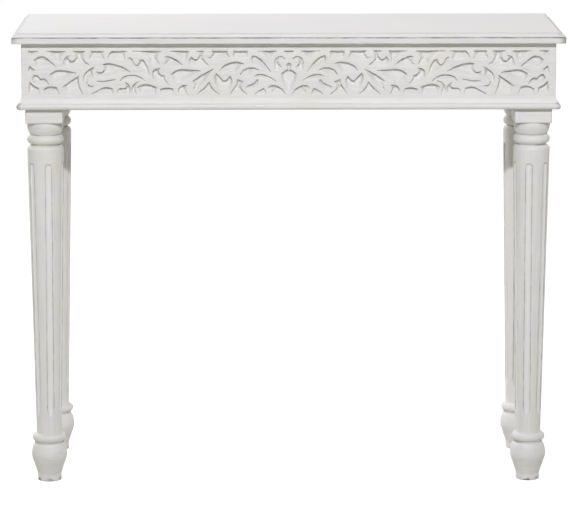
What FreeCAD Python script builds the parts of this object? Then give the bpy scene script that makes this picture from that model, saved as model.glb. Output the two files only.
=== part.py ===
import FreeCAD, Part
import math
import os

# Pier table: a moulded top on a carved apron box, carried by four turned and fluted legs.
# Millimetres. X runs along the length, Y goes back, Z up. The origin is on the floor, under
# the middle of the table, and the carved front faces -Y.

# Overall sizes
length = 1092.0
depth = 394.0
height = 914.0

# Curves of the turning and the carving are cut in flats that stay this close to the true curve
turning_error = 0.5
carving_error = 0.5

# Table top: a square fascia below, a sloping ledge, then an ovolo up to the flat face
top_thickness = 21.0
top_overhang = 17.8
top_fascia_height = 12.4
top_ledge_depth = 5.5
top_ledge_rise = 1.6
top_ovolo_inset = 12.0
top_ovolo_swell = 1.4

# Apron box
apron_height = 132.0
apron_thickness = 20.0

# Base moulding, planted on the foot of the aprons: lip, shallow cove, and a half-round bead below
moulding_height = 24.0
moulding_projection = 10.0
moulding_lip = 0.8
bead_height = 12.8
cove_quirk = 0.6
cove_sag = 0.4

# Carved field on the front apron, and how deep its ground is cut below the face
field_end_margin = 14.2
field_top_margin = 16.0
field_bottom_margin = 6.0
ground_depth = 5.0

# Legs: turned from a square blank, from the abacus down to the foot
abacus_side = 74.0
abacus_height = 29.0
abacus_chamfer = 1.5
leg_setback = 16.2
echinus_height = 25.0
echinus_top_radius = 36.0
echinus_foot_radius = 30.0
echinus_swell = 2.6
torus_height = 19.0
torus_radius = 36.5
groove_height = 2.0
collar_groove_radius = 28.6
shoulder_height = 10.0
shaft_top_radius = 36.4
shaft_foot_radius = 25.1
ankle_ring_top = 97.6
ankle_ring_height = 16.2
ankle_ring_radius = 33.8
ankle_groove_height = 4.4
ankle_groove_radius = 29.3
bulb_height = 56.8
bulb_radius = 35.8
bulb_shoulder_height = 70.5
bulb_shoulder_radius = 33.2
bulb_side_height = 45.0
bulb_side_radius = 34.4
flare_height = 28.7
flare_radius = 28.6
pad_height = 13.8
pad_radius = 23.9
pad_chamfer = 2.0

# Flutes of the shaft
flute_count = 6
flute_width = 13.4
flute_depth = 3.6
flute_top_land = 25.0
flute_foot_land = 37.9
flute_turn = 12.0

# Corner blocks in the box, and the bolts that hold the legs to them
block_side = 52.0
bolt_diameter = 8.0
bolt_in_leg = 45.0
bolt_in_block = 33.0
bolt_end_room = 4.0
insert_diameter = 12.0
insert_length = 25.0

# Cleats that hold the top, along the inside of the aprons
cleat_side = 20.0
cleat_end_gap = 0.5
long_cleat_screws = 2
short_cleat_screws = 1

# Countersunk wood screws up through the cleats, and dowels across the apron joints
screw_length = 34.0
screw_diameter = 4.2
screw_head_diameter = 8.4
screw_head_height = 2.6
screw_clearance = 0.3
dowel_diameter = 8.0
dowel_in_front = 12.0
dowel_in_side = 18.0
dowel_end_room = 1.0
dowel_levels = (0.25, 0.75)

# What follows from the sizes above
half_box_x = length / 2 - top_overhang
half_box_y = depth / 2 - top_overhang
inner_x = half_box_x - apron_thickness
inner_y = half_box_y - apron_thickness
apron_top_z = height - top_thickness
leg_height = apron_top_z - apron_height
leg_x = half_box_x + moulding_projection - leg_setback - abacus_side / 2
leg_y = half_box_y + moulding_projection - leg_setback - abacus_side / 2
z_abacus = leg_height - abacus_height
z_echinus = z_abacus - echinus_height
z_torus = z_echinus - torus_height
z_collar = z_torus - groove_height
z_shoulder = z_collar - shoulder_height
z_ring = ankle_ring_top - ankle_ring_height
z_ankle = z_ring - ankle_groove_height
shaft_taper = (shaft_top_radius - shaft_foot_radius) / (z_shoulder - ankle_ring_top)

# The middle of a quarter round lies this share of its width and of its height out and up
quarter_share = math.sqrt(0.5)

# The carving's ground: every hollow between the stems, leaves and buds of the scroll, on the
# right half of the apron. The left half mirrors it. A hollow is drawn on a field 514 long from
# the middle of the apron and 86 high, and stretched to the field that the apron has. It has a
# starting point and the runs that follow each other round it: a run of one point is straight,
# a run of two is an arc by way of the first, and a longer one is a smooth curve.
pattern_length = 514.0
pattern_height = 86.0
pattern = {
    # between the two middle stems
    "middle_top": ((0, 86), [(9, 86)], [(6, 79), (0, 77)]),
    "middle_vase": ((0, 62), [(4, 60), (4, 54)], [(3, 49)], [(8, 45), (13, 43), (15, 38)],
                    [(15, 31), (11, 20), (5, 9), (0, 2)]),
    "middle_curl": ((8, 71), [(13, 75), (20, 75), (26, 71), (29, 63), (29, 55), (27, 47)],
                    [(21, 47), (17, 50), (15, 55), (19, 59), (20, 64), (18, 69), (13, 70), (8, 71)]),
    # under the upper border
    "border_1": ((25, 86), [(61, 86)], [(48, 78), (39, 68)], [(33, 77), (25, 86)]),
    "border_2": ((81, 86), [(109, 86)], [(110, 79), (108, 72)], [(95, 71), (82, 73)], [(81, 86)]),
    "border_3": ((121, 86), [(152, 86)], [(151, 79), (153, 74), (160, 74)],
                 [(153, 68), (145, 67), (132, 70), (118, 75)], [(121, 80), (121, 86)]),
    "border_4": ((168, 86), [(182, 86)], [(177, 80), (178, 73), (183, 69), (188, 70), (192, 75)],
                 [(197, 68), (195, 60), (186, 56), (174, 55), (159, 59)],
                 [(166, 65), (170, 73), (169, 80), (168, 86)]),
    "border_5": ((197, 86), [(234, 86)], [(218, 76), (203, 60)], [(201, 73), (197, 86)]),
    "border_6": ((251, 86), [(309, 86)], [(296, 82), (285, 77), (277, 68), (272, 57)],
                 [(264, 58), (256, 61)], [(259, 66), (260, 74), (256, 81), (251, 86)]),
    "border_7": ((319, 86), [(349, 86)], [(354, 81), (357, 74)], [(340, 70), (323, 70)],
                 [(324, 78), (319, 86)]),
    "border_8": ((365, 86), [(391, 86)], [(391, 78), (394, 71)], [(380, 69), (365, 71)],
                 [(367, 79), (365, 86)]),
    "border_9": ((402, 86), [(427, 86)], [(422, 79), (421, 71), (426, 66), (432, 67), (435, 72), (432, 77)],
                 [(439, 75), (443, 70)], [(446, 61), (438, 54), (424, 52), (409, 54), (395, 60)],
                 [(402, 64), (406, 73), (402, 86)]),
    "border_10": ((441, 86), [(479, 86)], [(466, 75), (454, 62)], [(449, 74), (441, 86)]),
    "border_11": ((495, 86), [(514, 86)], [(514, 64)], [(506, 77), (495, 86)]),
    # leaves and curls between the borders, from the middle outwards
    "leaf_1": ((36, 45), [(42, 54), (50, 64), (60, 73), (71, 77)], [(74, 69), (72, 62)],
               [(62, 58), (52, 52), (43, 47), (36, 45)]),
    "leaf_2": ((60, 49), [(66, 52), (78, 53), (86, 51), (92, 46), (96, 40)], [(88, 37), (80, 36)],
               [(74, 41), (68, 45), (60, 49)]),
    "leaf_3": ((26, 27), [(33, 31), (43, 37), (54, 40), (63, 39), (68, 36)],
               [(62, 32), (54, 30), (45, 30), (35, 29), (26, 27)]),
    "leaf_4": ((62, 30), [(64, 25), (67, 23), (75, 19), (84, 15)], [(79, 10), (73, 10)],
               [(66, 15), (61, 21), (62, 30)]),
    "leaf_5": ((90, 61), [(97, 64), (107, 64.5), (115, 63), (123, 60), (131, 55), (135, 49), (134, 43)],
               [(130, 45), (124, 46), (118, 45), (112, 43), (106, 42)],
               [(104, 44), (100, 50), (95, 56), (90, 61)]),
    "bud_1": ((117, 36), [(121, 30), (126, 27), (131, 28), (134, 32), (138, 37), (144, 42)],
              [(147, 36), (147, 28), (144, 17), (137, 10), (128, 8), (119, 10), (113, 17), (112, 27),
               (117, 36)]),
    "leaf_6": ((150, 50), [(156, 47), (168, 41), (180, 34), (190, 26)], [(186, 18), (189, 10)], [(182, 10)],
               [(172, 18), (163, 29), (156, 40), (150, 50)]),
    "leaf_7": ((175, 47), [(190, 47), (200, 49), (210, 50), (218, 49.5), (225, 46), (233, 40)],
               [(227, 28), (214, 23)], [(205, 27), (193, 34), (184, 41), (175, 47)]),
    "leaf_8": ((211, 59), [(217, 65), (226, 71), (236, 75), (242, 75.5), (246, 74)], [(242, 67), (247, 60)],
               [(240, 57), (230, 55), (220, 56), (211, 59)]),
    "bud_2": ((255, 52), [(262, 51), (268, 47), (270, 38), (267, 28), (258, 22), (247, 20), (238, 21)],
              [(244, 28), (246, 37)], [(251, 38), (256, 42), (257, 47), (255, 52)]),
    "leaf_9": ((276, 40), [(278, 52), (283, 62), (289, 69), (294, 69)], [(295, 63), (300, 58), (305, 60),
               (308, 67), (316, 73)], [(314, 64), (306, 56), (296, 48), (286, 41), (276, 37)]),
    "leaf_10": ((284, 27), [(290, 32), (298, 37), (306, 38.5), (318, 38), (326, 35), (333, 28)],
                [(326, 27), (316, 29), (306, 31), (296, 30), (284, 27)]),
    "leaf_11": ((313, 45), [(322, 51), (334, 57), (346, 60.5), (358, 62), (367, 60)],
                [(365, 52), (366, 46), (371, 43), (379, 45)],
                [(383, 40), (377, 35), (368, 34), (358, 35), (345, 39), (332, 43), (313, 45)]),
    "leaf_12": ((343, 30), [(352, 28), (362, 26.5), (370, 26), (379, 27)],
                [(373, 21), (362, 21), (352, 24), (343, 30)]),
    "bud_3": ((385, 54), [(392, 51), (399, 46), (405, 38), (407, 29), (404, 18), (398, 11), (390, 9)],
              [(386, 17)], [(393, 17), (398, 22), (397, 28), (393, 32), (387, 36)], [(388, 45), (385, 54)]),
    "leaf_13": ((420, 43), [(426, 44.5), (440, 47), (450, 48.5), (458, 48), (465, 45), (472, 40)],
                [(470, 31), (461, 24)], [(452, 25), (440, 31), (430, 37), (420, 43)]),
    "leaf_14": ((459, 55), [(465, 60), (471, 66), (478, 72), (484, 75.5), (491, 75.5), (498, 73), (503, 68)],
                [(500, 60), (494, 52)], [(478, 58), (459, 55)]),
    "bud_4": ((474, 20), [(478, 27), (483, 32), (491, 31), (496, 37), (503, 39)],
              [(507, 33), (506, 26), (499, 20), (488, 18), (474, 20)]),
    "tip": ((502, 49), [(506, 51), (511, 56)], [(514, 49), (513, 41)], [(506, 43), (502, 49)]),
    # above the lower border
    "base_1": ((7, 1), [(14, 11), (22, 16), (31, 18), (41, 13)], [(34, 9)], [(33, 1)]),
    "base_2": ((45, 1), [(47, 7), (50, 12)], [(58, 8), (67, 1)]),
    "base_3": ((90, 25), [(96, 27), (102, 30)], [(103, 20), (108, 11), (116, 1)], [(83, 1)],
               [(91, 7), (95, 13), (94, 18), (90, 25)]),
    "base_4": ((138, 1), [(149, 9), (157, 25)], [(168, 12), (181, 1)]),
    "base_5": ((200, 1), [(204, 9), (202, 18)], [(212, 17), (219, 9)], [(218, 1)]),
    "base_6": ((228, 1), [(229, 11)], [(241, 13), (254, 10)], [(254, 1)]),
    "base_7": ((264, 1), [(261, 14)], [(268, 17), (278, 20), (287, 20), (293, 18), (299, 14)], [(296, 9)],
               [(295, 1)]),
    "base_8": ((293, 27), [(300, 25), (306, 20), (310, 14), (311, 8), (308, 1)], [(301, 1)],
               [(304, 12), (303, 17), (300, 21), (293, 27)]),
    "base_9": ((323, 24), [(320, 20), (321, 14), (328, 12), (335, 12), (339, 7), (338, 1)], [(315, 1)],
               [(314, 15), (323, 24)]),
    "base_10": ((347, 1), [(349, 12)], [(358, 14.5), (366, 14), (374, 10), (382, 5), (390, 1)]),
    "base_11": ((415, 37), [(421, 34), (432, 26), (440, 21), (447, 15)], [(443, 8), (438, 1)], [(408, 1)],
                [(414, 18), (415, 37)]),
    "base_12": ((454, 1), [(459, 14)], [(472, 16), (485, 10)], [(484, 1)]),
    "base_13": ((494, 12), [(504, 17), (512, 25)], [(514, 14), (514, 1)], [(493, 1)]),
}


def point(x, y, z):
    return FreeCAD.Vector(x, y, z)


up = point(0, 0, 1)


def curve_through(points):
    """Straight through two points, an arc through three and a smooth curve through more."""
    if len(points) == 2:
        return Part.LineSegment(*points)
    if len(points) == 3:
        return Part.Arc(*points)
    curve = Part.BSplineCurve()
    curve.interpolate(Points=points)
    return curve


def outline(start, runs, error=None):
    """Closed face from a start and the runs that follow, closed by a straight line if need be.

    With an error, its curves are cut in flats that stay that close to them.
    """
    edges = []
    here = start
    for run in runs:
        curve = curve_through([here] + run)
        if error and len(run) > 1:
            edges.extend(Part.makePolygon(curve.discretize(Deflection=error)).Edges)
        else:
            edges.append(curve.toShape())
        here = run[-1]
    if here.distanceToPoint(start) > 1e-6:
        edges.append(curve_through([here, start]).toShape())
    return Part.Face(Part.Wire(edges))


def block(x0, x1, y0, y1, z0, z1):
    """Box between two corners, given in any order."""
    low = point(min(x0, x1), min(y0, y1), min(z0, z1))
    return Part.makeBox(abs(x1 - x0), abs(y1 - y0), abs(z1 - z0), low)


def rod(diameter, start, direction, rod_length):
    return Part.makeCylinder(diameter / 2, rod_length, start, direction)


def table_top():
    """The moulded board: the stretch of its long section that its short section also covers."""
    z_fascia = apron_top_z + top_fascia_height
    z_ledge = z_fascia + top_ledge_rise

    def section(half, along_x):
        def place(u, z):
            return point(u, -depth, z) if along_x else point(-length, u, z)

        def ovolo(side):
            low = half - top_ledge_depth
            high = half - top_ovolo_inset
            middle_u = (low + high) / 2 + top_ovolo_swell
            middle_z = (z_ledge + height) / 2 + top_ovolo_swell
            return [place(side * u, z) for u, z in ((low, z_ledge), (middle_u, middle_z), (high, height))]

        right = ovolo(1)
        left = ovolo(-1)[::-1]
        runs = [[place(half, z_fascia)], [right[0]], right[1:], [left[0]], left[1:],
                [place(-half, z_fascia)], [place(-half, apron_top_z)]]
        return outline(place(half, apron_top_z), runs)

    long_bar = section(length / 2, True).extrude(point(0, 2 * depth, 0))
    wide_bar = section(depth / 2, False).extrude(point(2 * length, 0, 0))
    return long_bar.common(wide_bar)


def carved_hollows():
    """One prism for each hollow of the pattern, on both halves of the front apron."""
    x_scale = (half_box_x - field_end_margin) / pattern_length
    z_low = leg_height + moulding_height + field_bottom_margin
    z_scale = (apron_top_z - field_top_margin - z_low) / pattern_height
    y_ground = ground_depth - half_box_y
    hollows = []
    for start, *runs in pattern.values():
        for side in (1, -1):
            def place(u, v):
                return point(side * u * x_scale, y_ground, z_low + v * z_scale)

            placed_runs = [[place(*p) for p in run] for run in runs]
            face = outline(place(*start), placed_runs, carving_error)
            hollows.append(face.extrude(point(0, -2 * ground_depth, 0)))
    return hollows


def long_apron(side):
    """Plain front (-1) or back (1) apron, over the whole length of the box."""
    return block(-half_box_x, half_box_x, side * inner_y, side * half_box_y, leg_height, apron_top_z)


def short_apron(side):
    """Left (-1) or right (1) apron, between the long ones."""
    return block(side * inner_x, side * half_box_x, -inner_y, inner_y, leg_height, apron_top_z)


def moulding_profile(place):
    """Face of the moulding's section. place(out, rise) puts a point that far out of the apron."""
    bead_radius = bead_height / 2
    bead_face = moulding_projection - bead_radius
    cove_top = moulding_height - cove_quirk
    cove_foot = bead_height + cove_quirk
    cove_middle = ((moulding_lip + bead_face) / 2 - cove_sag, (cove_top + cove_foot) / 2 - cove_sag)
    runs = [[place(bead_face, 0)], [place(moulding_projection, bead_radius), place(bead_face, bead_height)],
            [place(bead_face, cove_foot)], [place(*cove_middle), place(moulding_lip, cove_top)],
            [place(moulding_lip, moulding_height)], [place(0, moulding_height)]]
    return outline(place(0, 0), runs)


def moulding(side, along_x):
    """One mitred strip of the base moulding, on a long apron (along_x) or a short one."""
    half_run, half_across = (half_box_x, half_box_y) if along_x else (half_box_y, half_box_x)
    reach = half_run + moulding_projection

    def spot(run, across, z):
        return point(run, side * across, z) if along_x else point(side * across, run, z)

    def place(out, rise):
        return spot(-reach, half_across + out, leg_height + rise)

    strip = moulding_profile(place).extrude(spot(2 * reach, 0, 0))
    mitre_runs = [[spot(half_run, half_across, leg_height)],
                  [spot(reach, half_across + moulding_projection, leg_height)],
                  [spot(-reach, half_across + moulding_projection, leg_height)]]
    mitre = outline(spot(-half_run, half_across, leg_height), mitre_runs)
    return strip.common(mitre.extrude(point(0, 0, moulding_height)))


def corner_block(x_side, y_side):
    return block(x_side * (inner_x - block_side), x_side * inner_x, y_side * (inner_y - block_side),
                 y_side * inner_y, leg_height, apron_top_z)


def long_cleat(side):
    half_run = inner_x - block_side - cleat_end_gap
    return block(-half_run, half_run, side * (inner_y - cleat_side), side * inner_y,
                 apron_top_z - cleat_side, apron_top_z)


def short_cleat(side):
    half_run = inner_y - block_side - cleat_end_gap
    return block(side * (inner_x - cleat_side), side * inner_x, -half_run, half_run,
                 apron_top_z - cleat_side, apron_top_z)


def leg_profile():
    """Half section of the turning, from the floor up to the underside of the abacus."""
    def at(radius, z):
        return point(radius, 0, z)

    def quarter_round(radius, z, next_radius, next_z):
        """Middle and end of a quarter round that starts upright and ends level."""
        middle_radius = next_radius + (radius - next_radius) * quarter_share
        return [at(middle_radius, z + (next_z - z) * quarter_share), at(next_radius, next_z)]

    echinus_middle = (echinus_top_radius + echinus_foot_radius) / 2 + echinus_swell
    runs = [
        [at(pad_radius - pad_chamfer, 0)],
        [at(pad_radius, pad_chamfer)],
        [at(pad_radius, pad_height)],
        [at(flare_radius, flare_height), at(bulb_side_radius, bulb_side_height), at(bulb_radius, bulb_height),
         at(bulb_shoulder_radius, bulb_shoulder_height), at(ankle_groove_radius, z_ankle)],
        [at(ankle_groove_radius, z_ring)],
        [at(ankle_ring_radius, z_ring + ankle_ring_height / 2), at(shaft_foot_radius, ankle_ring_top)],
        [at(shaft_top_radius, z_shoulder)],
        quarter_round(shaft_top_radius, z_shoulder, collar_groove_radius, z_collar),
        [at(collar_groove_radius, z_torus)],
        [at(torus_radius, z_torus + torus_height / 2), at(echinus_foot_radius, z_echinus)],
        [at(echinus_middle, (z_echinus + z_abacus) / 2), at(echinus_top_radius, z_abacus)],
        [at(0, z_abacus)],
    ]
    return outline(at(0, 0), runs, turning_error)


def flute(turn):
    """Round cutter for one flute, nosed at both ends and laid along the taper of the shaft."""
    cutter_radius = (flute_width ** 2 / 4 + flute_depth ** 2) / (2 * flute_depth)
    nose_radius = cutter_radius - flute_depth
    nose_length = flute_width / 2
    angle = math.radians(turn - 90)

    def centre(z):
        radius = shaft_foot_radius + shaft_taper * (z - ankle_ring_top) + nose_radius
        return point(radius * math.cos(angle), radius * math.sin(angle), z)

    foot = centre(ankle_ring_top + flute_foot_land + nose_length)
    top = centre(z_shoulder - flute_top_land - nose_length)
    run = top.sub(foot)
    bar = Part.makeCylinder(cutter_radius, run.Length, foot, run)
    noses = [Part.makeCone(cutter_radius, nose_radius, nose_length, end, way)
             for end, way in ((foot, run.negative()), (top, run))]
    return bar.fuse(noses)


def leg(x_side, y_side):
    """One leg from one square blank, turned and fluted, with its bolt hole in the top."""
    turned = leg_profile().revolve(point(0, 0, 0), up, 360)
    flutes = [flute(n * 360 / flute_count - x_side * flute_turn) for n in range(flute_count)]
    half = abacus_side / 2
    abacus = block(-half, half, -half, half, z_abacus, leg_height)
    abacus = abacus.makeChamfer(abacus_chamfer, abacus.Edges)
    bolt_hole = rod(bolt_diameter, point(0, 0, leg_height - bolt_in_leg), up, bolt_in_leg)
    shape = turned.cut(flutes).fuse(abacus).cut(bolt_hole)
    shape.translate(point(x_side * leg_x, y_side * leg_y, 0))
    return shape


def hanger_bolt(x, y):
    """Half in the leg and half in the insert, with no head."""
    return rod(bolt_diameter, point(x, y, leg_height - bolt_in_leg), up, bolt_in_leg + bolt_in_block)


def insert_body(x, y):
    return rod(insert_diameter, point(x, y, leg_height), up, insert_length)


def block_bolt_hole(x, y):
    return rod(bolt_diameter, point(x, y, leg_height), up, bolt_in_block + bolt_end_room)


def screw_head(place):
    """Countersunk cone, its flat at a place on the underside of a cleat."""
    return Part.makeCone(screw_head_diameter / 2, screw_diameter / 2, screw_head_height, place, up)


def wood_screw(place):
    return screw_head(place).fuse(rod(screw_diameter, place, up, screw_length)).removeSplitter()


def screw_room(place):
    """Hole in the cleat: the head's own cone and a clear hole for the shank."""
    return screw_head(place).fuse(rod(screw_diameter + screw_clearance, place, up, cleat_side))


def spread(half_run, count):
    """Middles of equal shares of a run from minus to plus its half."""
    return [half_run * ((2 * n + 1) / count - 1) for n in range(count)]


def screw_places():
    """Where the screws up into the top start, on the underside of the cleats."""
    z = apron_top_z - cleat_side
    places = []
    for side in (-1, 1):
        for x in spread(inner_x - block_side, long_cleat_screws):
            places.append(point(x, side * (inner_y - cleat_side / 2), z))
        for y in spread(inner_y - block_side, short_cleat_screws):
            places.append(point(side * (inner_x - cleat_side / 2), y, z))
    return places


def dowel(x_side, y_side, level, room):
    """Dowel across the butt joint of a long and a short apron, longer by the room at its ends."""
    x = x_side * (half_box_x - apron_thickness / 2)
    z = leg_height + level * apron_height
    start = point(x, y_side * (inner_y - dowel_in_side - room), z)
    return rod(dowel_diameter, start, point(0, y_side, 0), dowel_in_side + dowel_in_front + room)


def join(solids):
    """Identical fasteners as one group of separate solids."""
    return Part.makeCompound(solids)


def build():
    """Every node of the table by name."""
    corners = [(x_side, y_side) for y_side in (-1, 1) for x_side in (-1, 1)]
    x_names = {-1: "left", 1: "right"}
    y_names = {-1: "front", 1: "back"}
    screws = [wood_screw(place) for place in screw_places()]
    screw_holes = [screw_room(place) for place in screw_places()]
    dowels = [dowel(*corner, level, 0) for corner in corners for level in dowel_levels]
    dowel_holes = [dowel(*corner, level, dowel_end_room) for corner in corners for level in dowel_levels]

    nodes = {"table_top": table_top().cut(screws)}
    for side, name in y_names.items():
        nodes[name + "_apron"] = long_apron(side).cut(dowels)
        nodes[name + "_moulding"] = moulding(side, True)
        nodes[name + "_cleat"] = long_cleat(side).cut(screw_holes)
    nodes["front_apron"] = nodes["front_apron"].cut(carved_hollows())
    for side, name in x_names.items():
        nodes[name + "_apron"] = short_apron(side).cut(dowel_holes)
        nodes[name + "_moulding"] = moulding(side, False)
        nodes[name + "_cleat"] = short_cleat(side).cut(screw_holes)

    bolts = []
    inserts = []
    for x_side, y_side in corners:
        name = y_names[y_side] + "_" + x_names[x_side]
        x, y = x_side * leg_x, y_side * leg_y
        bolt = hanger_bolt(x, y)
        bolts.append(bolt)
        inserts.append(insert_body(x, y).cut(bolt))
        nodes[name + "_leg"] = leg(x_side, y_side)
        room = [insert_body(x, y), block_bolt_hole(x, y)]
        nodes[name + "_block"] = corner_block(x_side, y_side).cut(room)

    nodes["hanger_bolts"] = join(bolts)
    nodes["threaded_inserts"] = join(inserts)
    nodes["cleat_screws"] = join(screws)
    nodes["apron_dowels"] = join(dowels)
    return nodes


os.makedirs("parts", exist_ok=True)
for node_name, shape in build().items():
    shape.exportStep("parts/" + node_name + ".step")
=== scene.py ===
import math

import bpy
import numpy as np
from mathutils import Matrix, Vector, noise


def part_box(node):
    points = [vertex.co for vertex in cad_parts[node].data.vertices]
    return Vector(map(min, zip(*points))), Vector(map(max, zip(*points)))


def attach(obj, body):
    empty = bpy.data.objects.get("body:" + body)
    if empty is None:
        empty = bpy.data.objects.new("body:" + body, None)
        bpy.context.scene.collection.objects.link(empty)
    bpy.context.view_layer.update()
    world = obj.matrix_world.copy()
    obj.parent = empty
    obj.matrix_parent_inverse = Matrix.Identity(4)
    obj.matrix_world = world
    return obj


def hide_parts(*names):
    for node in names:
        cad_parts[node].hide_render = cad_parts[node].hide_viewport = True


# Pier table: the look of its painted wood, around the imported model. Metres, in the model's frame:
# X along the length, Y to the back, Z up, and the carved front faces -Y.

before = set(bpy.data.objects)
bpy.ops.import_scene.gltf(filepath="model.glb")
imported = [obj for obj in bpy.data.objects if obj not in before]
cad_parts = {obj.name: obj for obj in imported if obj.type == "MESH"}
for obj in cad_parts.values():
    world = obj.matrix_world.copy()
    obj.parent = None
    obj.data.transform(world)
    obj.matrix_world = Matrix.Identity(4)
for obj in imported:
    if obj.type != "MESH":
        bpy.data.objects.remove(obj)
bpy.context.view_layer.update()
mm = 0.001

# Table top: a square fascia below, a sloping ledge, then an ovolo up to the flat face
fascia_height = 12.4 * mm
ledge_depth = 5.5 * mm
ledge_rise = 1.6 * mm
ovolo_inset = 12.0 * mm
ovolo_swell = 1.4 * mm
ovolo_steps = 8
fascia_arris = 0.9 * mm
top_side_steps = 90

# Base moulding: lip, shallow cove and a half-round bead
moulding_projection = 10.0 * mm
moulding_lip = 0.8 * mm
bead_height = 12.8 * mm
bead_steps = 14
cove_quirk = 0.6 * mm
cove_sag = 0.4 * mm
cove_steps = 8
long_moulding_steps = 120
end_moulding_steps = 40

# Plain aprons, at the back and on both ends
back_apron_arris = 1.0 * mm
end_apron_arris = 0.6 * mm

# Carving: its ground is a little higher than the solid's. Its walls are steep under an upper edge
# and run out in a long scoop over a lower one
steep_wall = 0.9 * mm
long_scoop = 11.0 * mm
wall_overlap = 0.1 * mm
worn_wall = 1.3 * mm
shoulder_round = 2.2 * mm
shoulder_drop = 0.45 * mm
carving_grid = 0.8 * mm
carving_reach = 6.0 * mm
ground_lift = 0.3 * mm
chisel_mark = 4.0 * mm
chisel_depth = 0.45 * mm
carved_apron_end = 1.5 * mm
carved_apron_end_drop = 0.8 * mm

# Slips of the gouge on the apron's face, as two ends in x and z, in millimetres. Each is a shallow cut,
# drawn dark grey as painted shade
gouge_slips = [((219, 822), (222, 826)), ((457, 821), (463, 827)), ((441, 797), (441, 801)),
               ((463, 843), (476, 838)), ((72, 837), (78, 829))]
slip_width = 1.0 * mm
slip_depth = 0.9 * mm

# Legs, from the abacus down to the foot. The flutes' noses are round at the top, and drawn out at
# the foot to flute_run_out times that length
abacus_height = 29.0 * mm
abacus_arris = 1.4 * mm
echinus_height = 25.0 * mm
echinus_top_radius = 36.0 * mm
echinus_foot_radius = 30.0 * mm
echinus_swell = 2.6 * mm
torus_height = 19.0 * mm
torus_radius = 36.5 * mm
groove_height = 2.0 * mm
collar_groove_radius = 28.6 * mm
shoulder_height = 10.0 * mm
shaft_top_radius = 36.4 * mm
shaft_foot_radius = 25.1 * mm
ankle_ring_top = 97.6 * mm
ankle_ring_height = 16.2 * mm
ankle_ring_radius = 33.8 * mm
ankle_groove_height = 4.4 * mm
ankle_groove_radius = 29.3 * mm
bulb_curve = [(33.2 * mm, 70.5 * mm), (35.8 * mm, 56.8 * mm),
              (34.4 * mm, 45.0 * mm), (28.6 * mm, 28.7 * mm)]
pad_height = 13.8 * mm
pad_radius = 23.9 * mm
pad_round = 2.0 * mm
flute_count = 6
flute_width = 13.4 * mm
flute_depth = 3.6 * mm
flute_top_land = 25.0 * mm
flute_foot_land = 37.9 * mm
flute_run_out = 3.0
flute_turn = math.radians(12)

# Points round a leg: across each flute, and at these shares of the land between two flutes
flute_points = 21
land_shares = [0.05, 0.12, 0.24, 0.37, 0.5, 0.63, 0.76, 0.88, 0.95]

# Points up a leg: along its turned curves and its shaft, closer at the ends of the flutes
foot_steps = 12
ring_steps = 18
neck_steps = 10
echinus_steps = 12
pad_step = 2.0 * mm
shaft_step = 3.0 * mm
flute_foot_step = 1.4 * mm
flute_top_step = 0.7 * mm
flute_margin = 1.0 * mm

# How far rubbing reaches either side of an arris, chips in the paint of the feet, and how far
# handwork strays from the true form
rub_reach = 1.3 * mm
flute_rub_reach = 0.8 * rub_reach
chip_reach = 9 * mm
chip_size = 9 * mm
chip_strength = 4
hand_error = 0.25 * mm
hand_error_size = 45 * mm

# How dark or whitened each place is drawn: 1 is grey wood and 0 is plain paint. Along arrises and
# mitres this is wear. The grooves, the ankle ring's underside, the gouge slips and the carving's upper
# edges take the same grey as painted shade, and the foot's floor edge and the slopes on the top's ends
# as wear and painted shade. Below 0 the paint is drawn thick and whiter: in flutes and carved hollows,
# where the rubbing did not reach, and on the top face and the back right leg as painted light. The
# carving's painted shade is clipped at 1, so more than 1 makes its dark line wider
fascia_rubbing = 1.0
fascia_foot_rubbing = 0.45
end_slope_wear_and_shade = 0.4
top_face_painted_light = -0.6
mitre_rubbing = 0.9
cove_foot_rubbing = 0.4
slip_painted_shade = 0.7
ground_rubbing = -0.2
upper_edge_painted_shade = 1.4
abacus_rubbing = 0.6
groove_painted_shade = 0.7
ankle_wear_and_shade = 0.9
flute_arris_rubbing = 0.9
flute_bed_rubbing = -0.5
back_right_leg_painted_light = -0.7

# Rounded arrises are drawn in this many steps, and creases over this angle stay sharp to the eye
arris_steps = 3
crease_angle = math.radians(35)


def srgb(hex_colour):
    """Linear colour of an sRGB hex value."""
    def linear(c):
        return c / 12.92 if c <= 0.04045 else ((c + 0.055) / 1.055) ** 2.4

    return tuple(linear(int(hex_colour[i:i + 2], 16) / 255) for i in (1, 3, 5)) + (1.0,)


# ---------------------------------------------------------------- materials

# Settings of sums and of a mix of two colours. A mix has several sockets of the same name, so its
# share, its lower and upper colours and its result go by their numbers
multiply = {"operation": "MULTIPLY"}
subtract = {"operation": "SUBTRACT"}
larger_of = {"operation": "MAXIMUM"}
two_colours = {"data_type": "RGBA"}
how_much, under, over = 0, 6, 7
mixed = 2


def add(material, kind, settings=None, inputs=None):
    """Adds a node with its settings. An input is a value, an output, or a node for its first output."""
    node = material.node_tree.nodes.new(kind)
    for name, value in (settings or {}).items():
        setattr(node, name, value)
    for name, value in (inputs or {}).items():
        if isinstance(value, bpy.types.Node):
            value = value.outputs[0]
        if isinstance(value, bpy.types.NodeSocket):
            material.node_tree.links.new(value, node.inputs[name])
        else:
            node.inputs[name].default_value = value
    return node


def new_material(name):
    """An empty node material, and the coordinates of the model's frame for its patterns."""
    material = bpy.data.materials.new(name)
    material.use_nodes = True
    material.node_tree.nodes.clear()
    place = add(material, "ShaderNodeTexCoord").outputs["Object"]
    return material, place


def marks(material, place, size, detail=2.0, roughness=0.5):
    """Noise whose marks are about this size, in metres along X, Y and Z."""
    scaled = add(material, "ShaderNodeMapping", {"vector_type": "POINT"},
                 {"Vector": place, "Scale": [1 / s for s in size]})
    return add(material, "ShaderNodeTexNoise", None,
               {"Vector": scaled, "Scale": 1.0, "Detail": detail, "Roughness": roughness})


def grain_size(axes, along, across):
    """Size of marks that run along these axes."""
    return [along if i in axes else across for i in range(3)]


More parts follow.
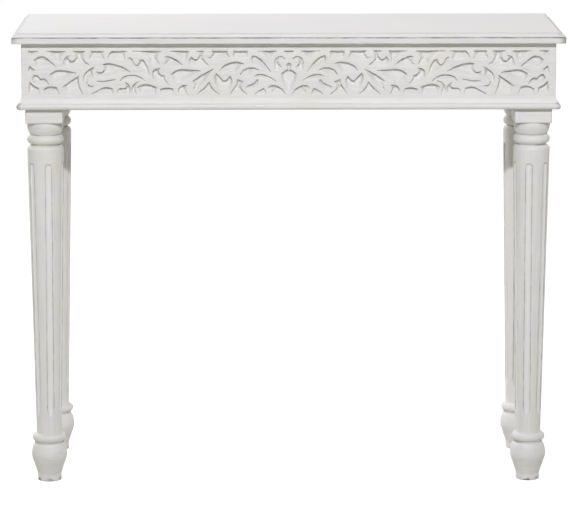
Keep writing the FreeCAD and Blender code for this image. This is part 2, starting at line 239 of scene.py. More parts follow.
def whitewashed_wood(name, axes, stroke):
    """Eggshell white paint brushed over a turned or planed hardwood, then sanded back by hand.

    The brush leaves faint streaks along its strokes, and open pores show through as short grey
    lines. Along the arrises the paint is sanded away in a thin uneven line, down to grey wood,
    and it stays thick where the sanding did not get, in flutes and carved hollows. The same grey
    is also laid as painted shade in grooves, small cuts and under the carving's upper edges, and
    thick whiter paint as painted light on the top face and one leg. Handling
    has left it a little yellowed in places.
    """
    material, place = new_material(name)

    # Real streaks are about 1 mm wide and real pores 0.2 mm. They are drawn coarser, so that they show
    streaks = marks(material, place, grain_size(axes, stroke, 3.0 * mm), 3.0, 0.6)
    pores = marks(material, place, grain_size(axes, stroke / 5, 1.3 * mm), 2.0)
    clouds = marks(material, place, (55 * mm,) * 3, 3.0)
    stains = marks(material, place, (110 * mm,) * 3, 4.0, 0.6)
    rub = marks(material, place, grain_size(axes, 30 * mm, 8 * mm), 3.0)
    wear_and_painted_light = add(material, "ShaderNodeAttribute", {"attribute_name": "wear_and_painted_light"}).outputs["Fac"]

    # Dried paint, a little uneven in tone, with yellowed patches
    tone = add(material, "ShaderNodeMapRange", None,
               {"Value": clouds, "From Min": 0.35, "From Max": 0.65})
    paint = add(material, "ShaderNodeMix", two_colours,
                {how_much: tone, under: srgb("#e6e6e5"), over: srgb("#ececea")}).outputs[mixed]
    yellowed = add(material, "ShaderNodeMapRange", None,
                   {"Value": stains, "From Min": 0.5, "From Max": 0.75, "To Max": 0.5})
    paint = add(material, "ShaderNodeMix", two_colours,
                {how_much: yellowed, under: paint, over: srgb("#dedfcd")}).outputs[mixed]

    # Brush streaks and open pores, except on thick paint: in hollows, and as painted light on the top and
    # one leg
    not_whitened = add(material, "ShaderNodeMapRange", None,
                  {"Value": wear_and_painted_light, "From Min": -1.0, "From Max": 0.0})
    thin = add(material, "ShaderNodeMapRange", None,
               {"Value": streaks, "From Min": 0.48, "From Max": 0.74, "To Max": 0.42})
    thin = add(material, "ShaderNodeMath", multiply, {0: not_whitened, 1: thin})
    paint = add(material, "ShaderNodeMix", two_colours,
                {how_much: thin, under: paint, over: srgb("#cfcfca")}).outputs[mixed]
    open_pores = add(material, "ShaderNodeMapRange", None,
                     {"Value": pores, "From Min": 0.68, "From Max": 0.80, "To Max": 0.4})
    open_pores = add(material, "ShaderNodeMath", multiply, {0: not_whitened, 1: open_pores})
    paint = add(material, "ShaderNodeMix", two_colours,
                {how_much: open_pores, under: paint, over: srgb("#aeaca4")}).outputs[mixed]
    paint = add(material, "ShaderNodeMix", two_colours,
                {how_much: not_whitened, under: srgb("#f0f0ee"), over: paint}).outputs[mixed]

    # Grey wood along the arrises in an uneven line; the same grey is painted shade in grooves and cuts
    uneven = add(material, "ShaderNodeMapRange", None,
                 {"Value": rub, "From Min": 0.38, "From Max": 0.6, "To Min": 0.35})
    wear_and_shade = add(material, "ShaderNodeMapRange", None,
               {"Value": wear_and_painted_light, "From Min": 0.0, "From Max": 1.0})
    wear_and_shade = add(material, "ShaderNodeMath", multiply, {0: wear_and_shade, 1: uneven})
    bare_and_shaded = add(material, "ShaderNodeMath", multiply, {0: wear_and_shade, 1: 0.95})
    colour = add(material, "ShaderNodeMix", two_colours,
                 {how_much: bare_and_shaded, under: paint, over: srgb("#6f6c66")}).outputs[mixed]

    relief = add(material, "ShaderNodeMath", subtract, {0: streaks, 1: open_pores})
    bump = add(material, "ShaderNodeBump", None,
               {"Strength": 0.25, "Distance": 0.2 * mm, "Height": relief})
    eggshell = add(material, "ShaderNodeMapRange", None,
                   {"Value": clouds, "From Min": 0.3, "From Max": 0.7, "To Min": 0.48, "To Max": 0.56})
    surface = add(material, "ShaderNodeBsdfPrincipled", None,
                  {"Base Color": colour, "Roughness": eggshell, "IOR": 1.5, "Normal": bump})
    add(material, "ShaderNodeOutputMaterial", None, {"Surface": surface})
    return material


def sawn_wood(name, axes):
    """Unfinished hardwood, sawn and planed: growth bands along the grain and dark pores.

    The pores are drawn at 0.9 mm, coarser than their real 0.2 mm, so that they show.
    """
    material, place = new_material(name)
    bands = marks(material, place, grain_size(axes, 260 * mm, 7 * mm), 3.0)
    fibres = marks(material, place, grain_size(axes, 45 * mm, 0.9 * mm), 2.0)
    tone = add(material, "ShaderNodeMapRange", None,
               {"Value": bands, "From Min": 0.35, "From Max": 0.65})
    colour = add(material, "ShaderNodeMix", two_colours,
                 {how_much: tone, under: srgb("#b08a5e"), over: srgb("#8f6a43")}).outputs[mixed]
    pores = add(material, "ShaderNodeMapRange", None,
                {"Value": fibres, "From Min": 0.55, "From Max": 0.75, "To Max": 0.6})
    colour = add(material, "ShaderNodeMix", two_colours,
                 {how_much: pores, under: colour, over: srgb("#6d4c2d")}).outputs[mixed]
    bump = add(material, "ShaderNodeBump", None,
               {"Strength": 0.5, "Distance": 0.3 * mm, "Height": fibres})
    surface = add(material, "ShaderNodeBsdfPrincipled", None,
                  {"Base Color": colour, "Roughness": 0.75, "IOR": 1.5, "Normal": bump})
    add(material, "ShaderNodeOutputMaterial", None, {"Surface": surface})
    return material


def zinc_steel():
    """Zinc-plated steel as fasteners have it: bluish grey, with a fine uneven haze."""
    material, place = new_material("zinc_plated_steel")
    haze = marks(material, place, (1.5 * mm,) * 3, 3.0)
    colour = add(material, "ShaderNodeMix", two_colours,
                 {how_much: haze, under: srgb("#b9bcc0"), over: srgb("#9fa3a8")}).outputs[mixed]
    dulled = add(material, "ShaderNodeMapRange", None,
                 {"Value": haze, "From Min": 0.3, "From Max": 0.7, "To Min": 0.28, "To Max": 0.45})
    surface = add(material, "ShaderNodeBsdfPrincipled", None,
                  {"Base Color": colour, "Metallic": 1.0, "Roughness": dulled})
    add(material, "ShaderNodeOutputMaterial", None, {"Surface": surface})
    return material


painted_x = whitewashed_wood("whitewashed_wood_brushed_along_x", (0,), 130 * mm)
painted_y = whitewashed_wood("whitewashed_wood_brushed_along_y", (1,), 130 * mm)
painted_z = whitewashed_wood("whitewashed_wood_brushed_along_z", (2,), 130 * mm)
painted_round = whitewashed_wood("whitewashed_wood_brushed_round", (0, 1), 25 * mm)
sawn_x = sawn_wood("sawn_wood_grain_along_x", (0,))
sawn_y = sawn_wood("sawn_wood_grain_along_y", (1,))
sawn_z = sawn_wood("sawn_wood_grain_along_z", (2,))
steel = zinc_steel()


# ---------------------------------------------------------------- making pieces

def make_piece(name, node, shells, materials, crisp=True):
    """A painted piece in place of a node, from shells of points, faces and marks of wear and painted light
    per point.

    The first shell takes the first material, and so on. A crisp piece keeps its arrises sharp to the
    eye.
    """
    points = []
    faces = []
    wear_and_painted_light_marks = []
    finish = []
    for k, (shell_points, shell_faces, shell_wear_and_painted_light) in enumerate(shells):
        start = len(points)
        points.extend(tuple(p) for p in shell_points)
        faces.extend([start + i for i in face] for face in shell_faces)
        wear_and_painted_light_marks.extend(shell_wear_and_painted_light)
        finish.extend([k] * len(shell_faces))
    mesh = bpy.data.meshes.new(name)
    mesh.from_pydata(points, [], faces)
    mesh.polygons.foreach_set("material_index", finish)
    layer = mesh.attributes.new("wear_and_painted_light", "FLOAT", "POINT")
    layer.data.foreach_set("value", np.array(wear_and_painted_light_marks, np.float32))
    mesh.shade_smooth()
    if crisp:
        mesh.set_sharp_from_angle(angle=crease_angle)
    for material in materials:
        mesh.materials.append(material)
    piece = bpy.data.objects.new(name, mesh)
    bpy.context.scene.collection.objects.link(piece)
    weighted = piece.modifiers.new("even_shading", "WEIGHTED_NORMAL")
    weighted.keep_sharp = True
    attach(piece, "root")
    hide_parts(node)
    return piece


def stray(x, y, z):
    """How far the handmade surface strays from the true one at a place."""
    return hand_error * noise.noise(Vector((x, y, z)) / hand_error_size)


def eased(corners):
    """Rounds an open section. Each corner is u, v, its radius and its mark of wear and painted light.

    Returns the points with their marks, with a plain point a little way off each arris.
    """
    made = []
    for i, (u, v, radius, wear_and_painted_light) in enumerate(corners):
        here = Vector((u, v))
        if not radius:
            made.append((u, v, wear_and_painted_light))
            continue
        back = Vector(corners[i - 1][:2]) - here
        ahead = Vector(corners[i + 1][:2]) - here
        reach = radius + rub_reach
        room = 1.5 * reach
        if back.length > room:
            made.append((*(here + back.normalized() * reach), 0.0))
        start = here + back.normalized() * radius
        end = here + ahead.normalized() * radius
        for t in (0.0, 0.25, 0.5, 0.75, 1.0):
            spot = start * (1 - t) ** 2 + here * (2 * t * (1 - t)) + end * t ** 2
            made.append((*spot, wear_and_painted_light))
        if ahead.length > room:
            made.append((*(here + ahead.normalized() * reach), 0.0))
    return made


def arc(start, middle, end, steps):
    """Points of the arc through three points, both ends included."""
    (ax, ay), (bx, by), (cx, cy) = start, middle, end
    d = 2 * (ax * (by - cy) + bx * (cy - ay) + cx * (ay - by))
    a2, b2, c2 = ax ** 2 + ay ** 2, bx ** 2 + by ** 2, cx ** 2 + cy ** 2
    ox = (a2 * (by - cy) + b2 * (cy - ay) + c2 * (ay - by)) / d
    oy = (a2 * (cx - bx) + b2 * (ax - cx) + c2 * (bx - ax)) / d
    radius = math.hypot(ax - ox, ay - oy)
    first, mid, last = (math.atan2(y - oy, x - ox) for x, y in (start, middle, end))
    turn = (last - first) % math.tau
    if (mid - first) % math.tau > turn:
        turn -= math.tau
    angles = [first + turn * i / steps for i in range(steps + 1)]
    return [(ox + radius * math.cos(a), oy + radius * math.sin(a)) for a in angles]


def box_shell(low, high, radius):
    """Box with rounded arrises marked as paint wear, as one closed shell."""
    low, high = np.array(low, float), np.array(high, float)
    bend = [radius * (1 - math.cos(math.pi / 2 * i / arris_steps)) for i in range(arris_steps + 1)]
    edge = bend + [radius + rub_reach]
    grids = [[a + e for e in edge] + [b - e for e in reversed(edge)] for a, b in zip(low, high)]
    nothing = 1e-9
    index = {}
    points = []
    wear_and_painted_light_marks = []
    faces = []

    def corner(place):
        key = tuple(round(c, 7) for c in place)
        if key not in index:
            index[key] = len(points)
            core = np.clip(place, low + radius, high - radius)
            out = place - core
            size = np.linalg.norm(out)
            points.append(tuple(core + out * (radius / size if size > nothing else 0)))
            wear_and_painted_light_marks.append(1.0 if np.count_nonzero(np.abs(out) > nothing) > 1 else 0.0)
        return index[key]

    for axis in range(3):
        u, v = (axis + 1) % 3, (axis + 2) % 3
        for side, at in ((0, low[axis]), (1, high[axis])):
            for i in range(len(grids[u]) - 1):
                for j in range(len(grids[v]) - 1):
                    face = []
                    for du, dv in ((0, 0), (1, 0), (1, 1), (0, 1)):
                        place = np.zeros(3)
                        place[axis], place[u], place[v] = at, grids[u][i + du], grids[v][j + dv]
                        face.append(corner(place))
                    faces.append(face if side else face[::-1])
    return points, faces, wear_and_painted_light_marks


def board(name, node, radius, material):
    """Plain board with eased arrises, where its node is."""
    low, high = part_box(node)
    return make_piece(name, node, [box_shell(low, high, radius)], [material])


def even_steps(low, high, step):
    """Evenly spaced places from low to high, about a step apart."""
    return np.linspace(low, high, max(2, round((high - low) / step) + 1))


def ring_faces(rows, ring, turned=False):
    """Faces of a solid whose points lie in rows, each a closed ring. Turned is inside out."""
    faces = []
    for r in range(rows - 1):
        for i in range(ring):
            j = (i + 1) % ring
            faces.append([r * ring + i, r * ring + j, (r + 1) * ring + j, (r + 1) * ring + i])
    faces.append(list(range(ring))[::-1])
    faces.append(list(range((rows - 1) * ring, rows * ring)))
    return [face[::-1] for face in faces] if turned else faces


# ---------------------------------------------------------------- table top and mouldings

def table_top():
    """The board, its moulded edge run round all four sides. The slopes on its ends are drawn darker, as
    wear on the end grain and painted shade.
    """
    low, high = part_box("table_top")
    z_fascia = low.z + fascia_height
    z_ledge = z_fascia + ledge_rise
    inner = ovolo_inset + 2 * rub_reach
    swell = ((ledge_depth + ovolo_inset) / 2 - ovolo_swell, (z_ledge + high.z) / 2 + ovolo_swell)
    ovolo = arc((ledge_depth, z_ledge), swell, (ovolo_inset, high.z), ovolo_steps)
    section = eased([(inner, low.z, 0, 0.0),
                     (0.0, low.z, fascia_arris, fascia_foot_rubbing),
                     (0.0, z_fascia, fascia_arris, fascia_rubbing),
                     *[(*place, 0, 0.0) for place in ovolo],
                     # The flat top face is drawn with thick whiter paint, as painted light
                     (inner, high.z, 0, top_face_painted_light)])
    across = even_steps(0, 1, 1 / top_side_steps)[:-1]
    corners = [(-1, -1), (1, -1), (1, 1), (-1, 1)]
    points = []
    wear_and_painted_light_marks = []
    for inset, z, wear_and_painted_light in section:
        wide, deep = high.x - inset, high.y - inset
        on_fascia = inset < fascia_arris and low.z + fascia_arris < z < z_fascia - fascia_arris
        for k, (cx, cy) in enumerate(corners):
            nx, ny = corners[(k + 1) % 4]
            # The ovolo on the two ends is drawn darker, as wear and painted shade
            end_grain = k % 2 and ledge_depth <= inset <= ovolo_inset
            for t in across:
                x = (cx + (nx - cx) * t) * wide
                y = (cy + (ny - cy) * t) * deep
                inward = abs(stray(x, y, z)) if 0 < inset < ovolo_inset else 0.0
                points.append((x * (1 - inward / wide), y * (1 - inward / deep), z))
                if on_fascia and t == 0.0:
                    wear_and_painted_light_marks.append(mitre_rubbing)
                else:
                    wear_and_painted_light_marks.append(end_slope_wear_and_shade if end_grain else wear_and_painted_light)
    faces = ring_faces(len(section), 4 * len(across))
    return make_piece("table_top_board", "table_top", [(points, faces, wear_and_painted_light_marks)], [painted_x])


def moulding_section(height):
    """The moulding's closed section, as distance out of the apron and height."""
    bead_radius = bead_height / 2
    bead_face = moulding_projection - bead_radius
    cove_top = (moulding_lip, height - cove_quirk)
    cove_foot = (bead_face, bead_height + cove_quirk)
    cove_middle = ((cove_top[0] + cove_foot[0]) / 2 - cove_sag,
                   (cove_top[1] + cove_foot[1]) / 2 - cove_sag)
    bead = arc((bead_face, 0.0), (moulding_projection, bead_radius), (bead_face, bead_height), bead_steps)
    cove = arc(cove_foot, cove_middle, cove_top, cove_steps)
    section = [(0.0, 0.0), *bead, *cove, (moulding_lip, height), (0.0, height)]
    return [(u, v, cove_foot_rubbing if (u, v) == cove_foot else 0.0) for u, v in section]


def moulding(name, side, along_x, material):
    """One mitred strip of the base moulding."""
    low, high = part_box(name)
    half_x, half_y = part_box("front_moulding")[1].x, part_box("left_moulding")[1].y
    half_run, half_across = (half_x, half_y) if along_x else (half_y, half_x)
    section = moulding_section(high.z - low.z)
    steps = even_steps(-1, 1, 2 / (long_moulding_steps if along_x else end_moulding_steps))
    points = []
    wear_and_painted_light_marks = []
    for t in steps:
        at_mitre = t in (-1, 1)
        for u, v, wear_and_painted_light in section:
            run = t * (half_run - moulding_projection + u)
            out = half_across - moulding_projection + u
            x, y = (run, side * out) if along_x else (side * out, run)
            points.append((x, y, low.z + v))
            wear_and_painted_light_marks.append(mitre_rubbing if at_mitre and v < bead_height else wear_and_painted_light)
    faces = ring_faces(len(steps), len(section), turned=(side < 0) == along_x)
    return make_piece(name + "_strip", name, [(points, faces, wear_and_painted_light_marks)], [material])


# ---------------------------------------------------------------- carved front apron

def carving_edges():
    """Edges that the hollows cut in the solid's front face, as pairs of (x, z).

    Each runs with its hollow on the right, seen from the front.
    """
    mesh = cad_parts["front_apron"].data
    low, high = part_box("front_apron")
    flatness = 0.01 * mm
    margin = 0.1 * mm
    edges = {}
    for face in mesh.polygons:
        spots = [mesh.vertices[i].co for i in face.vertices]
        if all(abs(s.y - low.y) < flatness for s in spots):
            flat = [(round(s.x, 6), round(s.z, 6)) for s in spots]
            for a, b in zip(flat, flat[1:] + flat[:1]):
                if edges.pop((b, a), None) is None:
                    edges[a, b] = True

    def inside(a, b):
        x, z = (a[0] + b[0]) / 2, (a[1] + b[1]) / 2
        return low.x + margin < x < high.x - margin and low.z + margin < z < high.z - margin

    return [edge for edge in edges if inside(*edge)]


def nearest_gap(xs, zs, edges, reach):
    """For each grid place, the distance to the nearest of the edges, up to a reach."""
    away = np.full((len(zs), len(xs)), reach)
    for (ax, az), (bx, bz) in edges:
        i0, i1 = np.searchsorted(xs, (min(ax, bx) - reach, max(ax, bx) + reach))
        j0, j1 = np.searchsorted(zs, (min(az, bz) - reach, max(az, bz) + reach))
        gx, gz = np.meshgrid(xs[i0:i1], zs[j0:j1])
        run = (bx - ax) ** 2 + (bz - az) ** 2
        t = np.clip(((gx - ax) * (bx - ax) + (gz - az) * (bz - az)) / run, 0, 1)
        gap = np.hypot(gx - ax - t * (bx - ax), gz - az - t * (bz - az))
        away[j0:j1, i0:i1] = np.minimum(away[j0:j1, i0:i1], gap)
    return away


def distance_into_hollows(xs, zs, edges, reach):
    """For each grid place, how far inside a hollow it is, up to a reach. Outside them it is below 0."""
    hollow = np.zeros((len(zs), len(xs)), bool)
    for (ax, az), (bx, bz) in edges:
        if az != bz:
            for j in range(*np.searchsorted(zs, (min(az, bz), max(az, bz)))):
                crossing = ax + (zs[j] - az) * (bx - ax) / (bz - az)
                hollow[j, xs > crossing] ^= True
    away = nearest_gap(xs, zs, edges, reach)
    return np.where(hollow, away, -away)


def gouged(xs, zs, edges):
    """For each grid place, its share of the ground's depth, and its painted shade under an upper edge."""
    share = np.ones((len(zs), len(xs)))
    wear_and_shade = np.zeros((len(zs), len(xs)))
    for (ax, az), (bx, bz) in edges:
        run = math.hypot(bx - ax, bz - az)
        in_x, in_z = (bz - az) / run, (ax - bx) / run
        slope = steep_wall + (long_scoop - steep_wall) * ((1 + in_z) / 2) ** 2
        reach = max(slope, worn_wall)
        i0, i1 = np.searchsorted(xs, (min(ax, bx) - reach, max(ax, bx) + reach))
        j0, j1 = np.searchsorted(zs, (min(az, bz) - reach, max(az, bz) + reach))
        gx, gz = np.meshgrid(xs[i0:i1] - ax, zs[j0:j1] - az)
        t = np.clip((gx * (bx - ax) + gz * (bz - az)) / run ** 2, 0, 1)
        gap = np.hypot(gx - t * (bx - ax), gz - t * (bz - az))
        part = np.where(gx * in_x + gz * in_z > -wall_overlap, gap / slope, 1.0)
        share[j0:j1, i0:i1] = np.minimum(share[j0:j1, i0:i1], part)
        # Painted shade: a dark grey line under each upper edge of a hollow, where the edge's shadow falls
        facing_down = min(max(-upper_edge_painted_shade * in_z, 0.0), 1.0)
        near = np.clip(upper_edge_painted_shade - upper_edge_painted_shade * gap / worn_wall, 0, 1)
        wear_and_shade[j0:j1, i0:i1] = np.maximum(wear_and_shade[j0:j1, i0:i1], facing_down * near)
    return share, wear_and_shade


def front_apron():
    """The apron with its scroll, its shoulders rounded and its ground left from the chisel."""
    low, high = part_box("front_apron")
    middle_y = (low.y + high.y) / 2
    depths = [v.co.y - low.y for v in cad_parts["front_apron"].data.vertices if v.co.y < middle_y]
    ground = max(depths) - ground_lift
    xs = even_steps(low.x, high.x, carving_grid)
    zs = even_steps(low.z, high.z, carving_grid)
    edges = carving_edges()
    into = distance_into_hollows(xs, zs, edges, carving_reach)
    wall, wear_and_shade = gouged(xs, zs, edges)
    wall = wall * (into > 0)
    shoulder = np.clip(1 + into / shoulder_round, 0, 1) ** 2 * (into < 0)
    slips = [tuple((x * mm, z * mm) for x, z in ends) for ends in gouge_slips]
    slip = np.clip(1 - nearest_gap(xs, zs, slips, 2 * slip_width) / slip_width, 0, 1) * (into < 0)
    end = np.minimum(xs - low.x, high.x - xs)
    end_drop = carved_apron_end_drop * np.clip(1 - end / carved_apron_end, 0, 1) ** 2
    points = []
    wear_and_painted_light_marks = []
    for j, z in enumerate(zs):
        for i, x in enumerate(xs):
            rough = noise.noise(Vector((x, 0.3, z)) / chisel_mark)
            depth = wall[j, i] * (ground + chisel_depth * rough)
            depth += max(shoulder[j, i], wall[j, i]) * shoulder_drop + end_drop[i]
            depth += abs(stray(x, 0.0, z)) / 2 + slip[j, i] * slip_depth
            points.append((x, low.y + depth, z))
            # Gouge slips and the hollows' upper edges are drawn dark grey as painted shade; the ground
            # takes thick paint
            wear_and_painted_light_marks.append(max(slip_painted_shade * slip[j, i], wear_and_shade[j, i]) or ground_rubbing * wall[j, i])
    wide, tall = len(xs), len(zs)
    faces = [[j * wide + i, j * wide + i + 1, (j + 1) * wide + i + 1, (j + 1) * wide + i]
             for j in range(tall - 1) for i in range(wide - 1)]

    # The board's own sides and back, from the rim of the carved face
    rim = list(range(wide))
    rim += [j * wide + wide - 1 for j in range(1, tall)]
    rim += [(tall - 1) * wide + i for i in range(wide - 2, -1, -1)]
    rim += [j * wide for j in range(tall - 2, 0, -1)]
    start = len(points)
    points.extend((points[i][0], high.y, points[i][2]) for i in rim)
    wear_and_painted_light_marks.extend([0.0] * len(rim))
    for k in range(len(rim)):
        n = (k + 1) % len(rim)
        faces.append([rim[n], rim[k], start + k, start + n])
    faces.append([start + k for k in range(len(rim))][::-1])
    carved = (points, faces, wear_and_painted_light_marks)
    return make_piece("front_apron_carved", "front_apron", [carved], [painted_x], crisp=False)


# ---------------------------------------------------------------- turned and fluted legs

def leg_rings(height):
    """The turning from the floor up to the abacus, as (radius, z, mark of wear and painted shade)."""
    z_abacus = height - abacus_height
    z_echinus = z_abacus - echinus_height
    z_torus = z_echinus - torus_height
    z_collar = z_torus - groove_height
    z_shoulder = z_collar - shoulder_height
    z_ring = ankle_ring_top - ankle_ring_height
    z_ankle = z_ring - ankle_groove_height

    # Each turned curve runs through the middle place that is named with its two ends
    foot = smooth_through([(pad_radius, pad_height), *bulb_curve[::-1], (ankle_groove_radius, z_ankle)],
                          foot_steps)
    ring = [(ankle_groove_radius, z_ring), (ankle_ring_radius, z_ring + ankle_ring_height / 2),
            (shaft_foot_radius, ankle_ring_top)]
    diagonal = math.sqrt(0.5)
    neck = [(shaft_top_radius, z_shoulder),
            (collar_groove_radius + (shaft_top_radius - collar_groove_radius) * diagonal,
             z_shoulder + shoulder_height * diagonal),
            (collar_groove_radius, z_collar)]
    torus = [(collar_groove_radius, z_torus), (torus_radius, z_torus + torus_height / 2),
             (echinus_foot_radius, z_echinus)]
    echinus = [(echinus_foot_radius, z_echinus),
               ((echinus_top_radius + echinus_foot_radius) / 2 + echinus_swell, (z_echinus + z_abacus) / 2),
               (echinus_top_radius, z_abacus)]

    z_foot = ankle_ring_top + flute_foot_land
    z_top = z_shoulder - flute_top_land
    nose = flute_width / 2 + flute_margin
    shaft_z = np.unique(np.concatenate([
        even_steps(ankle_ring_top, z_shoulder, shaft_step),
        even_steps(z_foot - flute_margin, z_foot + nose * flute_run_out, flute_foot_step),
        even_steps(z_top - nose, z_top + flute_margin, flute_top_step)]))
    taper = (shaft_top_radius - shaft_foot_radius) / (z_shoulder - ankle_ring_top)
    pad_bend = 0.3 * pad_round
    runs = [
        # Dark under the ankle ring as painted shade, and along the foot's floor edge as wear and painted
        # shade
        ([(pad_radius - pad_round, 0.0), (pad_radius - pad_bend, pad_bend)], ankle_wear_and_shade),
        ([(pad_radius, z) for z in even_steps(pad_round, pad_height, pad_step)[:-1]], 0.0),
        (foot, 0.0),
        (ring[:1], ankle_wear_and_shade),
        (arc(*ring, ring_steps)[1:-1], 0.0),
        ([(shaft_foot_radius + taper * (z - ankle_ring_top), z) for z in shaft_z], 0.0),
        (arc(*neck, neck_steps)[1:-1], 0.0),
        # The collar groove and the crease at the echinus's foot are drawn dark, as painted shade
        ([neck[-1], torus[0]], groove_painted_shade),
        (arc(*torus, ring_steps)[1:-1], 0.0),
        (echinus[:1], groove_painted_shade),
        (arc(*echinus, echinus_steps)[1:], 0.0),
    ]
    return [(radius, z, wear_and_painted_light) for run, wear_and_painted_light in runs for radius, z in run]


def smooth_through(stops, steps):
    """Smooth curve through a few points, from cubic pieces whose slopes follow their neighbours."""
    stops = [Vector(s) for s in stops]
    slopes = [(stops[min(i + 1, len(stops) - 1)] - stops[max(i - 1, 0)]) / 2 for i in range(len(stops))]
    made = []
    for i in range(len(stops) - 1):
        for k in range(steps):
            t = k / steps
            a, b = stops[i], stops[i + 1]
            spot = (a * (2 * t ** 3 - 3 * t ** 2 + 1) + slopes[i] * (t ** 3 - 2 * t ** 2 + t)
                    + b * (3 * t ** 2 - 2 * t ** 3) + slopes[i + 1] * (t ** 3 - t ** 2))
            made.append(tuple(spot))
    return made + [tuple(stops[-1])]


def leg(name, x_side, painted_light_level=0.0):
    """One leg: a lathe-turned and fluted column under its square abacus, chipped round its foot.

    Its flutes are turned a little, to one side on the left, where x_side is -1, and to the other on
    the right. Its last argument, when below 0, draws the whole leg's paint thick and whiter, as painted
    light on that leg.
    """
    low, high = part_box(name)
    middle = (low + high) / 2
    rings = leg_rings(high.z)
    z_abacus = high.z - abacus_height
    z_shoulder = z_abacus - echinus_height - torus_height - groove_height - shoulder_height

    # Flutes are cut by a round cutter. They run out in a nose at the top and a longer one at the foot
    half = flute_width / 2
    z_foot_nose = ankle_ring_top + flute_foot_land + half * flute_run_out
    z_top_nose = z_shoulder - flute_top_land - half
    cutter = (half ** 2 + flute_depth ** 2) / (2 * flute_depth)
    in_flute = np.linspace(-1, 1, flute_points)
    points = []
    wear_and_painted_light_marks = []
    for radius, z, wear_and_painted_light in rings:
        shaft_radius = min(max(radius, shaft_foot_radius), shaft_top_radius)
        flute_angle = math.asin(half / shaft_radius)
        land_angle = math.tau / flute_count - 2 * flute_angle
        past_foot = max(z_foot_nose - z, 0.0) / flute_run_out
        past = max(past_foot, z - z_top_nose)
        for k in range(flute_count):
            start = k * math.tau / flute_count - x_side * flute_turn - math.pi / 2
            spots = [(start + t * flute_angle, t * half) for t in in_flute]
            spots += [(start + flute_angle + t * land_angle,
                       half + min(t, 1 - t) * land_angle * shaft_radius) for t in land_shares]
            for angle, across in spots:
                off = math.hypot(across, past)
                depth = math.sqrt(cutter ** 2 - off ** 2) - (cutter - flute_depth) if off < half else 0.0
                x, y = math.cos(angle), math.sin(angle)
                place = Vector((x * radius + x_side, y * radius, z))
                turned = radius - depth - abs(stray(*place))
                points.append((middle.x + x * turned, middle.y + y * turned, z))
                arris = max(0.0, 1 - abs(off - half) / flute_rub_reach) * max(0.0, 1 - past_foot / half)
                chip = max(0.0, 1 - z / chip_reach) * noise.noise(place / chip_size)
                wear_and_shade = max(wear_and_painted_light, flute_arris_rubbing * arris, min(1.0, chip_strength * chip))
                bed = flute_bed_rubbing * min(1.0, 2 * depth / flute_depth)
                # A leg given a level below 0 is drawn thick and whiter, as painted light
                wear_and_painted_light_marks.append(wear_and_shade if wear_and_shade > 0 else min(painted_light_level, bed))
    faces = ring_faces(len(rings), flute_count * (len(in_flute) + len(land_shares)))
    turning = (points, faces, wear_and_painted_light_marks)
    abacus = box_shell((low.x, low.y, z_abacus), high, abacus_arris)
    abacus = (abacus[0], abacus[1], [abacus_rubbing * r for r in abacus[2]])

    # The brush went along the shaft, along the abacus, and round the rest of the turning
    finishes = [painted_z, painted_x, painted_round]
    piece = make_piece(name + "_turned", name, [turning, abacus], finishes)
    for face in piece.data.polygons:
        if face.center.z < ankle_ring_top or z_shoulder < face.center.z < z_abacus:
            face.material_index = finishes.index(painted_round)
    return piece


# ---------------------------------------------------------------- the table

table_top()
front_apron()
board("back_apron_board", "back_apron", back_apron_arris, painted_x)
board("left_apron_board", "left_apron", end_apron_arris, painted_y)
board("right_apron_board", "right_apron", end_apron_arris, painted_y)
moulding("front_moulding", -1, True, painted_x)
moulding("back_moulding", 1, True, painted_x)
moulding("left_moulding", -1, False, painted_y)
moulding("right_moulding", 1, False, painted_y)
leg("front_left_leg", -1)
leg("front_right_leg", 1)
leg("back_left_leg", -1)
# The back right leg's paint is drawn whiter all over, as painted light on it
leg("back_right_leg", 1, back_right_leg_painted_light)

inner_finishes = {
    "front_cleat": sawn_x, "back_cleat": sawn_x, "left_cleat": sawn_y, "right_cleat": sawn_y,
    "front_left_block": sawn_z, "front_right_block": sawn_z, "back_left_block": sawn_z,
    "back_right_block": sawn_z, "apron_dowels": sawn_y, "hanger_bolts": steel,
    "threaded_inserts": steel, "cleat_screws": steel,
}
for node, finish in inner_finishes.items():
    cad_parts[node].data.materials.clear()
    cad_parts[node].data.materials.append(finish)


# ---------------------------------------------------------------- studio

def seen_plainly(material):
    """1 for the camera's rays and for those off polished or through clear surfaces, otherwise 0."""
    rays = add(material, "ShaderNodeLightPath").outputs
    direct = add(material, "ShaderNodeMath", larger_of,
                 {0: rays["Is Camera Ray"], 1: rays["Is Glossy Ray"]})
    return add(material, "ShaderNodeMath", larger_of, {0: direct, 1: rays["Is Transmission Ray"]})


def white_floor():
    """Light table of warm white acrylic, seen as white with a faint shadow where things touch it."""
    material, place = new_material("white_acrylic_floor")
    tone = marks(material, place, (2.0,) * 3, 1.0)
    warm = add(material, "ShaderNodeMix", two_colours,
               {how_much: tone, under: srgb("#b6b7ab"), over: srgb("#b9baae")}).outputs[mixed]
    acrylic = add(material, "ShaderNodeBsdfDiffuse", None, {"Color": warm})
    sheet = add(material, "ShaderNodeBsdfDiffuse", None, {"Color": srgb("#b4b4b4")})
    glow = add(material, "ShaderNodeEmission", None, {"Color": srgb("#ffffff"), "Strength": 0.84})
    lit_sheet = add(material, "ShaderNodeAddShader", None, {0: sheet, 1: glow})
    surface = add(material, "ShaderNodeMixShader", None,
                  {0: seen_plainly(material), 1: acrylic, 2: lit_sheet})
    add(material, "ShaderNodeOutputMaterial", None, {"Surface": surface})
    reach = 30.0
    corners = [(-reach, -reach, 0), (reach, -reach, 0), (reach, reach, 0), (-reach, reach, 0)]
    mesh = bpy.data.meshes.new("floor")
    mesh.from_pydata(corners, [], [(0, 1, 2, 3)])
    mesh.materials.append(material)
    floor = bpy.data.objects.new("floor", mesh)
    bpy.context.scene.collection.objects.link(floor)


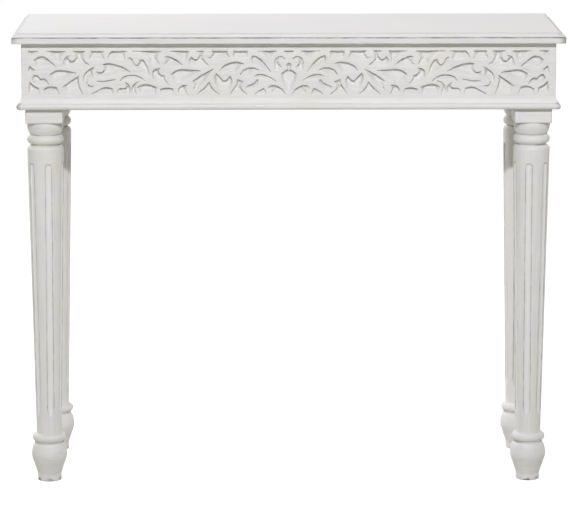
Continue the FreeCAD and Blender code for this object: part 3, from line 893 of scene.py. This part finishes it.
def studio_world():
    """White walls behind the table and beside it, in a room that is dim in front and overhead.

    Its light is given in linear colours.
    """
    dim_room = (0.08, 0.081, 0.074, 1.0)
    white_wall = (1.0, 1.0, 0.98, 1.0)
    world = bpy.data.worlds.new("white_studio")
    world.use_nodes = True
    world.node_tree.nodes.clear()
    direction = add(world, "ShaderNodeTexCoord").outputs["Generated"]
    direction = add(world, "ShaderNodeSeparateXYZ", None, {0: direction}).outputs
    behind = add(world, "ShaderNodeMapRange", None,
                 {"Value": direction["Y"], "From Min": -0.75, "From Max": 0.1})
    low_down = add(world, "ShaderNodeMapRange", None,
                   {"Value": direction["Z"], "From Min": 0.3, "From Max": 0.76,
                    "To Min": 1.0, "To Max": 0.25})
    walls = add(world, "ShaderNodeMath", multiply, {0: behind, 1: low_down})
    colour = add(world, "ShaderNodeMix", two_colours,
                 {how_much: walls, under: dim_room, over: white_wall}).outputs[mixed]
    room = add(world, "ShaderNodeBackground", None, {"Color": colour, "Strength": 1.0})
    white = add(world, "ShaderNodeBackground", None, {"Color": srgb("#ffffff"), "Strength": 1.0})
    light = add(world, "ShaderNodeMixShader", None, {0: seen_plainly(world), 1: room, 2: white})
    add(world, "ShaderNodeOutputWorld", None, {"Surface": light})
    bpy.context.scene.world = world


def softbox(name, place, aim, size, power):
    """Square soft light, a little cool."""
    cool = (0.98, 0.95, 1.0)
    lamp = bpy.data.lights.new(name, "AREA")
    lamp.shape = "SQUARE"
    lamp.size = size
    lamp.energy = power
    lamp.color = cool
    holder = bpy.data.objects.new(name, lamp)
    holder.location = place
    holder.rotation_mode = "QUATERNION"
    holder.rotation_quaternion = (Vector(aim) - Vector(place)).to_track_quat("-Z", "Y")
    bpy.context.scene.collection.objects.link(holder)
    return holder


def camera():
    """Long lens, a little left of the middle and above the top, looking down at the table."""
    place = (-0.0688, -6.6882, 1.6170)
    turn_right = 0.01136
    tilt_down = 0.17494
    lens_px = 3313.8
    image_px = 583
    sensor = 36.0
    data = bpy.data.cameras.new("camera")
    data.sensor_width = sensor
    data.lens = lens_px / image_px * sensor
    data.clip_end = 100.0
    holder = bpy.data.objects.new("camera", data)
    holder.location = place
    holder.rotation_euler = (math.pi / 2 - tilt_down, 0.0, -turn_right)
    bpy.context.scene.collection.objects.link(holder)
    bpy.context.scene.camera = holder


white_floor()
studio_world()
softbox("key", place=(0.0, -5.0, 3.40), aim=(0, -0.1, 0.6), size=0.14, power=196)
back_light = softbox("back_left", place=(-1.7, 1.9, 2.1), aim=(0, 0, 0.8), size=0.5, power=43)
back_light.visible_glossy = False  # its reflection would blot out the table top from the front right
camera()
bpy.context.scene.view_settings.view_transform = "Standard"
